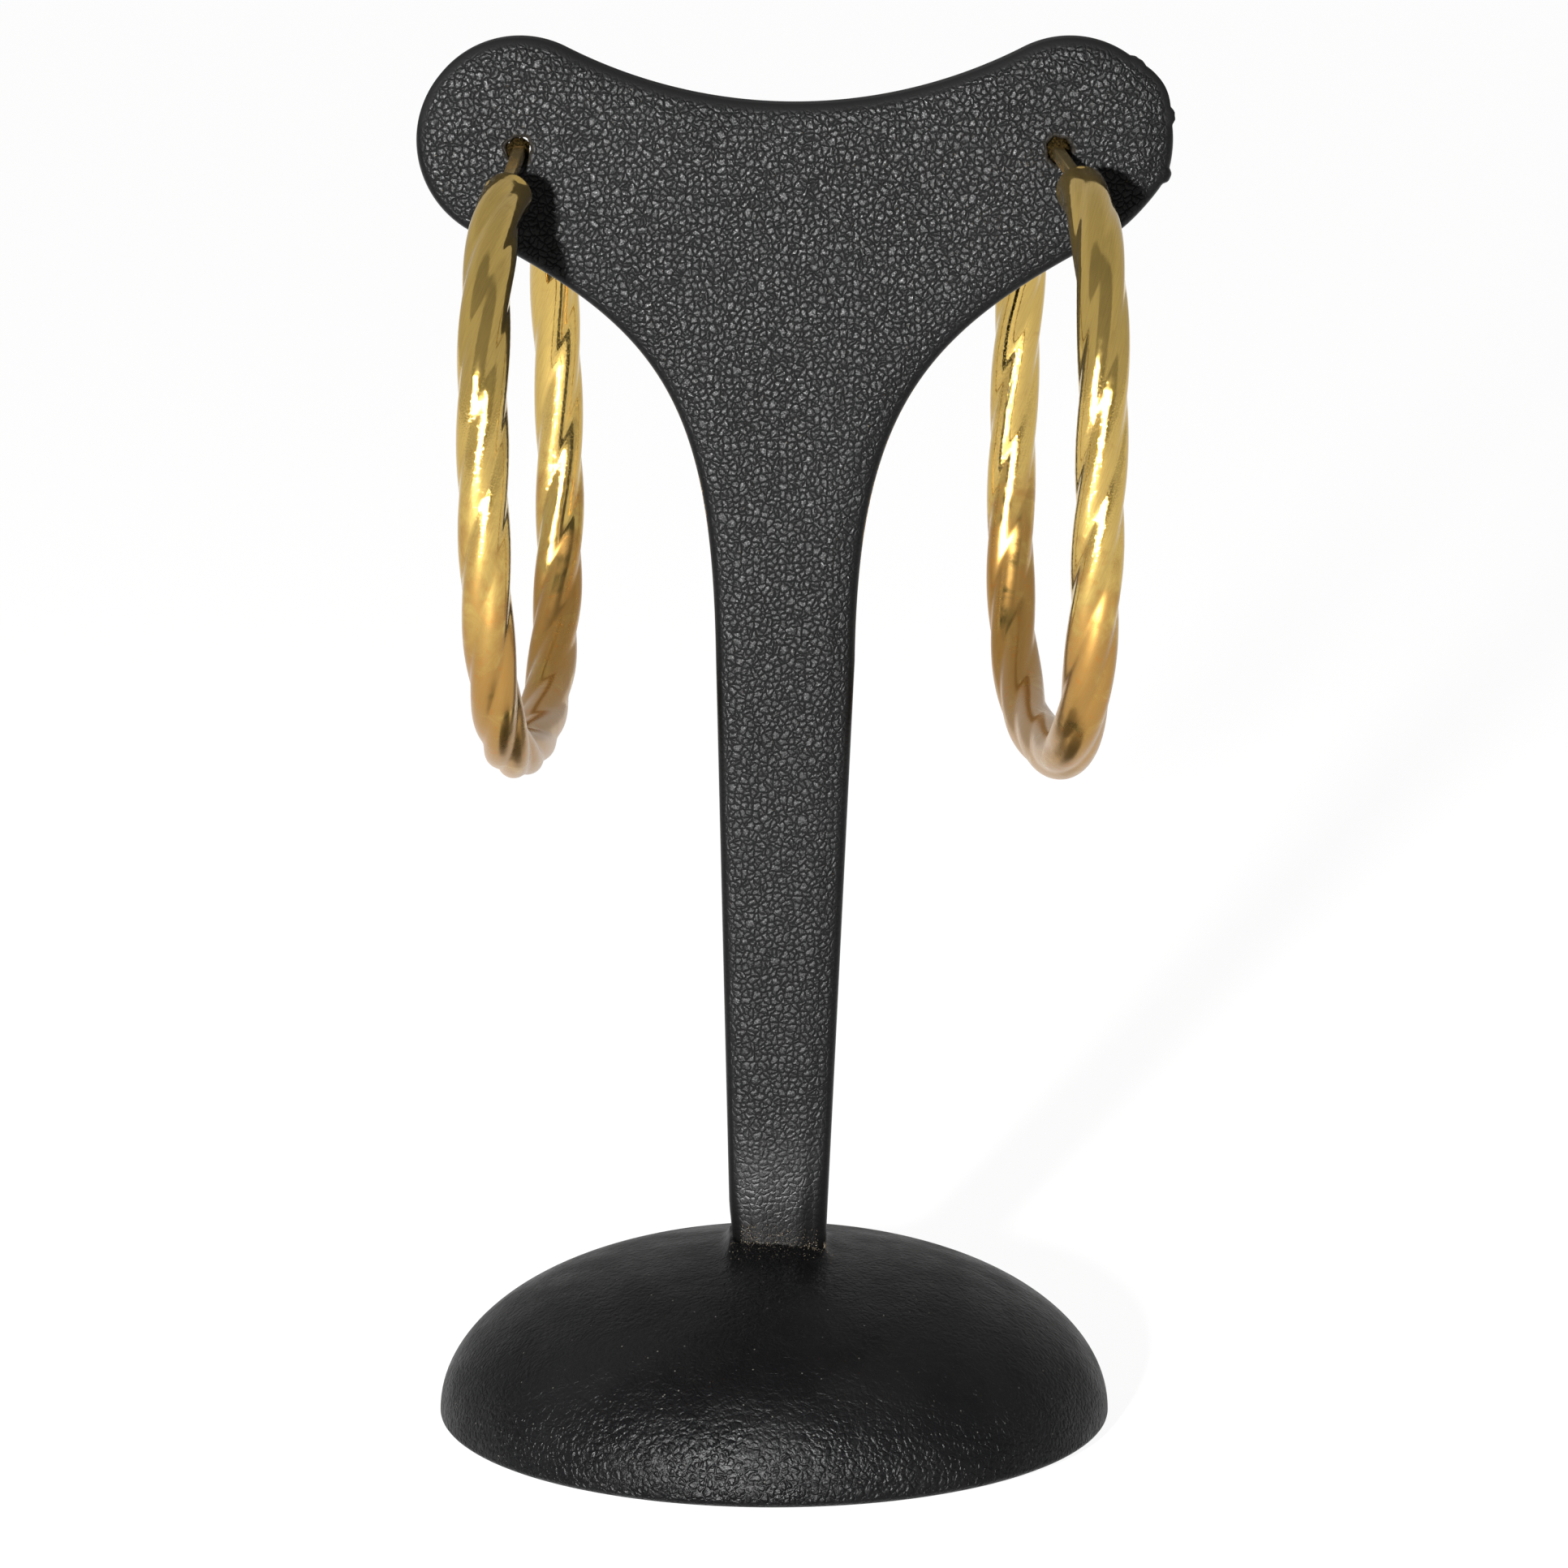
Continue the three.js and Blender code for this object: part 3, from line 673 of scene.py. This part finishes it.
def half_outline(direction):
    """Outline from the foot to the notch, with the pucker height of each point."""
    lobe = np.array([HEAD_SHIFT + direction * LOBE_SPACING / 2, LOBE_HEIGHT])
    foot = np.array([FOOT_SHIFT + direction * FOOT_WIDTH / 2, FOOT_HEIGHT])
    throat = np.array([THROAT_SHIFT + direction * THROAT_WIDTH / 2, THROAT_HEIGHT])
    rows = []
    for share in np.linspace(0, 1, STRAIGHT_POINTS, endpoint=False):
        point = foot + (throat - foot) * share
        if direction < 0 and point[1] < FOOT_PINCH_HEIGHT:
            point[0] += FOOT_PINCH * (1 - (point[1] - FOOT_HEIGHT) / (FOOT_PINCH_HEIGHT - FOOT_HEIGHT))
        rows.append((*point, 0.0))
    start = math.radians(UNDERSIDE_ANGLE)
    lobe_end = lobe + LOBE_RADIUS * np.array([direction * math.cos(start), -math.sin(start)])
    along = np.array([-direction * math.sin(start), -math.cos(start)])
    flare = throat + np.array([direction * THROAT_FLARE, THROAT_PULL])
    for point in bezier(throat, flare, lobe_end + along * NECK_PULL, lobe_end, NECK_POINTS):
        rows.append((*point, 0.0))
    last = 180 - math.degrees(NOTCH_DROP)
    for angle in np.linspace(-UNDERSIDE_ANGLE, last, LOBE_POINTS)[1:]:
        reach = puckered_radius(angle) if direction > 0 else LOBE_RADIUS
        rise = pucker_at(angle) if direction > 0 else 0.0
        turn = math.radians(angle)
        rows.append((lobe[0] + direction * reach * math.cos(turn), lobe[1] + reach * math.sin(turn), rise))
    half = math.pi / 2 - NOTCH_DROP
    for turn in np.linspace(half, 0, NOTCH_POINTS, endpoint=False)[1:]:
        rows.append((HEAD_SHIFT + direction * NOTCH_RADIUS * math.sin(turn),
                     NOTCH_CENTRE - NOTCH_RADIUS * math.cos(turn), 0.0))
    return rows


def board_outline():
    bottom = (HEAD_SHIFT, NOTCH_CENTRE - NOTCH_RADIUS, 0.0)
    return np.array(half_outline(1) + [bottom] + half_outline(-1)[::-1])


def inset(outline, distance, pucker_share):
    """The outline moved inward, with its puckers drawn out by their share."""
    place = outline[:, :2]
    before = place - np.roll(place, 1, axis=0)
    after = np.roll(place, -1, axis=0) - place
    before /= np.linalg.norm(before, axis=1)[:, None]
    after /= np.linalg.norm(after, axis=1)[:, None]
    outward = np.stack([before[:, 1] + after[:, 1], -before[:, 0] - after[:, 0]], axis=1)
    outward /= np.linalg.norm(outward, axis=1)[:, None]
    if distance > BOARD_EDGE:
        shifts = range(-OUTLINE_SMOOTHING, OUTLINE_SMOOTHING + 1)
        outward = sum(np.roll(outward, shift, axis=0) for shift in shifts)
        outward /= np.linalg.norm(outward, axis=1)[:, None]
    move = outline[:, 2] * pucker_share - distance
    moved = place + outward * move[:, None]
    moved[[0, -1], 0] = moved[[1, -2], 0]
    moved[[0, -1], 1] = FOOT_HEIGHT + distance / 20
    return moved


def board_sections():
    """Depth, outline and rim share of each ring, from the front face round to the back."""
    outline = board_outline()
    half = BOARD_THICKNESS / 2
    front = [(-half, inset(outline, reach, 0.0), 0.0) for reach in (FACE_REACH + FACE_MARGIN, FACE_REACH)]
    for distance in FACE_RINGS:
        sink = FACE_ROUNDING * ((FACE_REACH - distance) / (FACE_REACH - BOARD_EDGE)) ** 2
        front.append((-half + sink, inset(outline, distance, 0.0), 0.0))
    for turn in np.linspace(0, math.pi / 2, BOARD_EDGE_RINGS):
        depth = half - BOARD_EDGE + (BOARD_EDGE - FACE_ROUNDING) * math.cos(turn)
        rise = math.sin(turn)
        front.append((-depth, inset(outline, BOARD_EDGE * (1 - rise), rise), rise))
    back = [(-depth, ring, rim) for depth, ring, rim in reversed(front)]
    return front + back


def hole_x(hoop):
    return HEAD_SHIFT + hoop["direction"] * (LOBE_SPACING / 2 - hoop["hole_inset"] * LOBE_RADIUS)


def hole_wear(hoop, around):
    """Share by which the hole is wider or narrower than its round form."""
    return 1 + 0.07 * np.sin(3 * around + hoop["direction"]) + 0.05 * np.sin(7 * around + 1.1)


def in_hole(hoop, place):
    """True inside the outermost ring of the hole."""
    x = (place[0] - hole_x(hoop)) / (HOLE_WIDTH / 2 + HOLE_FACE)
    z = (place[1] - HOLE_LEVEL) / (HOLE_HEIGHT / 2 + HOLE_FACE)
    return math.hypot(x, z) < hole_wear(hoop, math.atan2(z, x)) * 0.995


def hole_sections(hoop):
    """Rings of the worn hole for an ear wire, front to back, and their shares of torn fibre."""
    around = np.linspace(0, 2 * math.pi, HOLE_SIDES, endpoint=False)
    uneven = hole_wear(hoop, around)
    front = [(row["depth"] - BOARD_THICKNESS / 2, row["widening"], row["torn"]) for row in HOLE_PROFILE]
    back = [(-depth, widening, torn) for depth, widening, torn in reversed(front)]
    rings = []
    for depth, widening, _ in front + back:
        x = hole_x(hoop) + (HOLE_WIDTH / 2 + widening) * uneven * np.cos(around)
        z = HOLE_LEVEL + (HOLE_HEIGHT / 2 + widening) * uneven * np.sin(around)
        rings.append(np.stack([x, np.full(HOLE_SIDES, depth), z], axis=1))
    return rings, [torn for _, _, torn in front + back]


def flat_face(loops):
    """Triangles of a flat face of the board, from its loops of points and their first numbers."""
    numbers, places, edges = [], [], []
    for points, first in loops:
        base, count = len(places), len(points)
        numbers += range(first, first + count)
        places += [Vector((point[0], point[2])) for point in points]
        edges += [(base + i, base + (i + 1) % count) for i in range(count)]
    corners, _, triangles, sources, _, _ = delaunay_2d_cdt(places, edges, [], 1, 1e-5)
    faces = []
    for triangle in triangles:
        middle = sum((corners[i] for i in triangle), Vector((0, 0))) / 3
        if not any(in_hole(hoop, middle) for hoop in HOOPS):
            faces.append([numbers[sources[i][0]] for i in triangle])
    return faces


def make_board(material):
    """The board's rolled edge, its two holes, and its flat front and back between them."""
    sections = board_sections()
    sides = len(sections[0][1])
    rings = [np.stack([ring[:, 0], np.full(sides, depth), ring[:, 1]], axis=1)
             for depth, ring, _ in sections]
    points = list(np.concatenate(rings))
    faces = ring_quads(len(rings), sides)
    rim = list(np.repeat([share for _, _, share in sections], sides))
    torn = [0.0] * len(points)
    front = [(rings[0], 0)]
    back = [(rings[-1], len(points) - sides)]
    for hoop in HOOPS:
        start = len(points)
        walls, shares = hole_sections(hoop)
        points += list(np.concatenate(walls))
        faces += ring_quads(len(walls), HOLE_SIDES, start)
        rim += [0.0] * HOLE_SIDES * len(walls)
        torn += list(np.repeat(shares, HOLE_SIDES))
        front.append((walls[0], start))
        back.append((walls[-1], len(points) - HOLE_SIDES))
    faces += flat_face(front) + flat_face(back)
    make_piece("board_leather", points, faces, material, ["stand_upright"],
               attributes={"rim": rim, "hole": torn})


# Hoops

def ring_point(hoop, angle):
    """The middle of the tube at an angle round the slightly squared ring."""
    c, s = np.cos(angle), np.sin(angle)
    power = hoop["squareness"]
    reach = HOOP_RADIUS * (np.abs(c) ** power + np.abs(s) ** power) ** (-1 / power)
    return np.stack([np.zeros_like(reach), -reach * c, reach * s], axis=-1)


def ring_tangent(hoop, angle):
    step = 1e-3
    way = ring_point(hoop, angle + step) - ring_point(hoop, angle - step)
    return way / np.linalg.norm(way, axis=-1, keepdims=True)


def wire_top(hoop):
    """Where the ear wire passes the middle of the board, in the ring's own frame."""
    return np.array([hoop["sway"] * WIRE_RISE, 0, HOOP_RADIUS + hoop["rise"] * WIRE_RISE])


def hoop_turn(hoop):
    """How the hoop is turned in its hole: splayed sideways and leaning."""
    splay = Euler((0, 0, math.radians(hoop["direction"] * hoop["splay"])))
    lean = Euler((0, math.radians(hoop["lean"]), 0))
    return np.array(splay.to_matrix() @ lean.to_matrix())


def hang(hoop, points):
    """From the ring's own frame to its place in the board."""
    return (points - wire_top(hoop)) @ hoop_turn(hoop).T + np.array([hole_x(hoop), 0, WIRE_LEVEL])


def tube_stations():
    """Angle along the ring and share of full radius, closing round at both ends."""
    rounding = END_ROUNDING / HOOP_RADIUS
    closing = [(rounding * (1 - math.sin(turn)), math.cos(turn) ** END_FULLNESS)
               for turn in np.linspace(0, math.pi / 2, END_STATIONS)[1:-1]]
    far = [(FAR_END + inward, share) for inward, share in reversed(closing)]
    near = [(NEAR_END - inward, share) for inward, share in closing]
    middle = [(angle, 1.0) for angle in np.linspace(FAR_END + rounding, NEAR_END - rounding, TUBE_STATIONS)]
    return far + middle + near


def eased(along, lengths):
    """The length along the tube, which counts for less over its straighter ends."""
    to_end = np.minimum(lengths, lengths[-1] - lengths)
    rate = STRAIGHT_RATE + (1 - STRAIGHT_RATE) * np.clip(to_end / STRAIGHT_END, 0, 1) ** 0.8
    steps = np.diff(lengths) * (rate[1:] + rate[:-1]) / 2
    total = np.concatenate([[0], np.cumsum(steps)])
    return total - np.interp(0.0, along, total)


def tube_twist(hoop, angles, lengths):
    """Turn of the flutes at each station, settling to the near end's place in the photo."""
    along = lengths - np.interp(0.0, angles, lengths)
    drift = (TWIST_DRIFT * np.sin(angles * 2.3 + hoop["direction"])
             + TWIST_WAVER * np.sin(angles * 5.1 + 0.4))
    turns = eased(along, lengths) / (hoop["pitch"] * HOOP_RADIUS) - hoop["crest_at"]
    twist = 2 * math.pi * turns + drift
    petal = 2 * math.pi / FLUTES
    miss = (math.radians(hoop["end_turn"]) - twist[-1] + petal / 2) % petal - petal / 2
    return twist + miss * np.clip(1 - (lengths[-1] - lengths) / END_SETTLE, 0, 1) ** 1.5


def flow_uvs(rings, sides, lengths):
    """Texture places of a skinned tube: along it, and round it."""
    uvs = []
    for r in range(rings - 1):
        for s in range(sides):
            a, b = s / sides * FLOW_AROUND, (s + 1) / sides * FLOW_AROUND
            u, v = lengths[r] / FLOW_LENGTH, lengths[r + 1] / FLOW_LENGTH
            uvs.append([(u, a), (u, b), (v, b), (v, a)])
    return uvs + [[(0, 0), (0, 1), (1, 0)]] * (2 * sides)


def make_tube(hoop, material):
    """A fluted, twisted tube along the ring, with a plain lip at each end."""
    stations = tube_stations()
    angles = np.array([angle for angle, _ in stations])
    centres = ring_point(hoop, angles)
    lengths = np.concatenate([[0], np.cumsum(np.linalg.norm(np.diff(centres, axis=0), axis=1))])
    from_near_end = lengths[-1] - lengths
    to_end = np.minimum(lengths, from_near_end)
    sideways = np.array([1.0, 0, 0])
    inward = np.cross(ring_tangent(hoop, angles), sideways)
    twist = tube_twist(hoop, angles, lengths)
    turns = np.linspace(0, 2 * math.pi, TUBE_SIDES, endpoint=False)
    wave = np.sqrt(np.cos(turns * FLUTES / 2) ** 2 + CREASE_SOFTNESS ** 2)
    lip = np.clip((LIP_LENGTH - to_end) / LIP_SLOPE, 0, 1) ** 2
    shift = hoop["end_shift"] * np.clip(1 - from_near_end / END_SHIFT_REACH, 0, 1) ** 2
    rings = []
    for i, (angle, share) in enumerate(stations):
        variation = GROOVE_VARIATION * math.sin(angle * 3.3 + 2 * hoop["direction"])
        fluted = CREST_RADIUS - GROOVE_DEPTH * (1 + variation) * (1 - wave)
        radius = (fluted + (LIP_RADIUS - fluted) * lip[i]) * share
        ring = (centres[i] + sideways * shift[i]
                + np.outer(radius * np.cos(turns + twist[i]), sideways)
                + np.outer(radius * np.sin(turns + twist[i]), inward[i]))
        rings.append(hang(hoop, ring))
    points, faces = skinned(rings)
    uvs = flow_uvs(len(rings), TUBE_SIDES, lengths)
    end = np.concatenate([np.repeat(np.exp(-to_end / END_DARKENING_REACH), TUBE_SIDES), [1.0, 1.0]])
    make_piece(f"twisted_tube_{hoop['side']}", points, faces, material,
               [f"hoop_{hoop['side']}"], uvs, {"end": end})


def centripetal(controls, steps):
    """A smooth curve through all the control points."""
    p = np.array([2 * controls[0] - controls[1], *controls, 2 * controls[-1] - controls[-2]])
    knots = np.concatenate([[0], np.cumsum(np.linalg.norm(np.diff(p, axis=0), axis=1) ** 0.5)])
    curve = []
    for i in range(1, len(p) - 2):
        t0, t1, t2, t3 = knots[i - 1:i + 3]
        for t in np.linspace(t1, t2, steps, endpoint=False):
            a1 = (t1 - t) / (t1 - t0) * p[i - 1] + (t - t0) / (t1 - t0) * p[i]
            a2 = (t2 - t) / (t2 - t1) * p[i] + (t - t1) / (t2 - t1) * p[i + 1]
            a3 = (t3 - t) / (t3 - t2) * p[i + 1] + (t - t2) / (t3 - t2) * p[i + 2]
            b1 = (t2 - t) / (t2 - t0) * a1 + (t - t0) / (t2 - t0) * a2
            b2 = (t3 - t) / (t3 - t1) * a2 + (t - t1) / (t3 - t1) * a3
            curve.append((t2 - t) / (t2 - t1) * b1 + (t - t1) / (t2 - t1) * b2)
    curve.append(p[-2])
    return np.array(curve)


def squared_section(width, thickness, corner):
    """Outline of a bar with rounded corners."""
    points = []
    for quarter in range(4):
        centre_x = (width / 2 - corner) * (1 if quarter in (0, 3) else -1)
        centre_y = (thickness / 2 - corner) * (1 if quarter in (0, 1) else -1)
        for turn in np.linspace(0, math.pi / 2, 5):
            angle = turn + quarter * math.pi / 2
            points.append((centre_x + corner * math.cos(angle), centre_y + corner * math.sin(angle)))
    return np.array(points)


def swept(path, section, up):
    """Rings of a section carried along a path."""
    way = np.gradient(path, axis=0)
    way /= np.linalg.norm(way, axis=1)[:, None]
    across = np.cross(way, up)
    across /= np.linalg.norm(across, axis=1)[:, None]
    other = np.cross(across, way)
    return [path[i] + np.outer(section[:, 0], across[i]) + np.outer(section[:, 1], other[i])
            for i in range(len(path))]


def make_wire(hoop, material):
    """A flat bar from one tube end, through the hole in the board, to the other end."""
    bore = hoop_turn(hoop).T @ np.array([0, 1.0, 0])
    top = wire_top(hoop)
    shoulder = BOARD_THICKNESS / 2 + SHOULDER_REACH
    halves = []
    for angle, sense, side in ((NEAR_END, 1, -1), (FAR_END, -1, 1)):
        mouth = ring_point(hoop, np.array(angle))
        out = ring_tangent(hoop, np.array(angle)) * sense
        halves.append([mouth - out * WIRE_SEAT, mouth, mouth + out * WIRE_LEAD,
                       top + bore * side * shoulder, top + bore * side * BOARD_THICKNESS / 4])
    path = centripetal(halves[0] + halves[1][::-1], WIRE_STEPS)
    section = squared_section(WIRE_WIDTH, WIRE_THICKNESS, WIRE_CORNER)
    rings = [hang(hoop, ring) for ring in swept(path, section, np.array([1.0, 0, 0]))]
    points, faces = skinned(rings)
    along = np.linspace(0, 1, len(path))
    near_end = np.exp(-np.minimum(along, 1 - along) / WIRE_END_DARKENING_SHARE)
    end = np.concatenate([np.repeat(near_end, len(section)), [1, 1]])
    make_piece(f"wire_bar_{hoop['side']}", points, faces, material,
               [f"ear_wire_{hoop['side']}"], attributes={"end": end})


def make_fluff(hoop, material):
    """Torn fibres that half fill the hole above the wire."""
    ball = bmesh.new()
    bmesh.ops.create_icosphere(ball, subdivisions=4, radius=1.0)
    points = np.array([v.co for v in ball.verts])
    faces = [[v.index for v in f.verts] for f in ball.faces]
    ball.free()
    lumps = sum(np.sin(points @ np.array(way) + phase) for way, phase in FLUFF_WAVES)
    points = points * (1 + FLUFF_RELIEF * lumps)[:, None] * np.array(hoop["fluff_size"])
    across, up = hoop["fluff_shift"]
    points += np.array([hole_x(hoop) + across, -FLUFF_DEPTH, HOLE_LEVEL + up])
    make_piece(f"hole_fluff_{hoop['side']}", points, faces, material)


def crumb(points, faces, centre, sizes, rng):
    """Adds an uneven eight-sided crumb to the lists, most often a small one."""
    size = sizes[0] + sizes[1] * rng.random() ** 3
    start = len(points)
    for axis in range(3):
        for sign in (-1, 1):
            point = np.array(centre, float)
            point[axis] += sign * size * rng.uniform(*CRUMB_UNEVENNESS)
            points.append(point)
    faces += [(start + a, start + b, start + c) for a in (0, 1) for b in (2, 3) for c in (4, 5)]


def fibre(points, faces, foot, tip, width):
    """Adds a thin four-sided fibre that tapers to its tip."""
    start = len(points)
    foot, tip = np.array(foot, float), np.array(tip, float)
    for x, y in ((1, 0), (0, 1), (-1, 0), (0, -1)):
        points.append(foot + np.array([x, y, 0]) * width)
    points.append(tip)
    faces += [(start + i, start + (i + 1) % 4, start + 4) for i in range(4)]
    faces.append((start, start + 3, start + 2, start + 1))


def make_foot_dust(material):
    """Dust and torn fibre along the crease between the stem and the dome."""
    rng = random.Random(DUST_SEED)
    points, faces = [], []
    front = -BOARD_THICKNESS / 2
    left = FOOT_SHIFT - FOOT_WIDTH / 2 + FOOT_PINCH
    right = FOOT_SHIFT + FOOT_WIDTH / 2
    for _ in range(DUST_ON_STEM):
        x = left + rng.random() ** 1.3 * (FOOT_WIDTH - FOOT_PINCH - DUST_CLEARANCE) + DUST_MARGIN
        z = dome_height(x, front) + rng.random() ** 1.6 * DUST_CLIMB
        crumb(points, faces, (x, front, z), STEM_CRUMB, rng)
    for _ in range(DUST_ON_DOME):
        x = left - DUST_OVERHANG + rng.random() ** 1.2 * (FOOT_WIDTH + DUST_EXTRA_WIDTH)
        y = front - 0.1 - rng.random() ** 2.0 * DUST_REACH
        crumb(points, faces, (x, y, dome_height(x, y)), DOME_CRUMB, rng)
    for _ in range(TUFT_FIBRES):
        x = right + rng.uniform(-0.05, 0.12)
        z = dome_height(x, front + 0.3)
        tip = (x + rng.uniform(-0.12, 0.2), front + rng.uniform(-0.3, 0.2), z + rng.uniform(0.35, 0.75))
        fibre(points, faces, (x, front + 0.25, z - 0.05), tip, FIBRE_WIDTH)
    make_piece("foot_dust", points, faces, material)


make_camera()
light_room()
make_floor()

make_dome(base_leather())
make_board(board_leather())
tube_gold = gold("hoop_gold", TUBE_GOLD)
bar_gold = gold("wire_gold", WIRE_GOLD)
for hoop in HOOPS:
    make_tube(hoop, tube_gold)
    make_wire(hoop, bar_gold)
make_foot_dust(dull("dust", DUST))
torn_fibre = dull("fluff", FLUFF)
for hoop in HOOPS:
    make_fluff(hoop, torn_fibre)
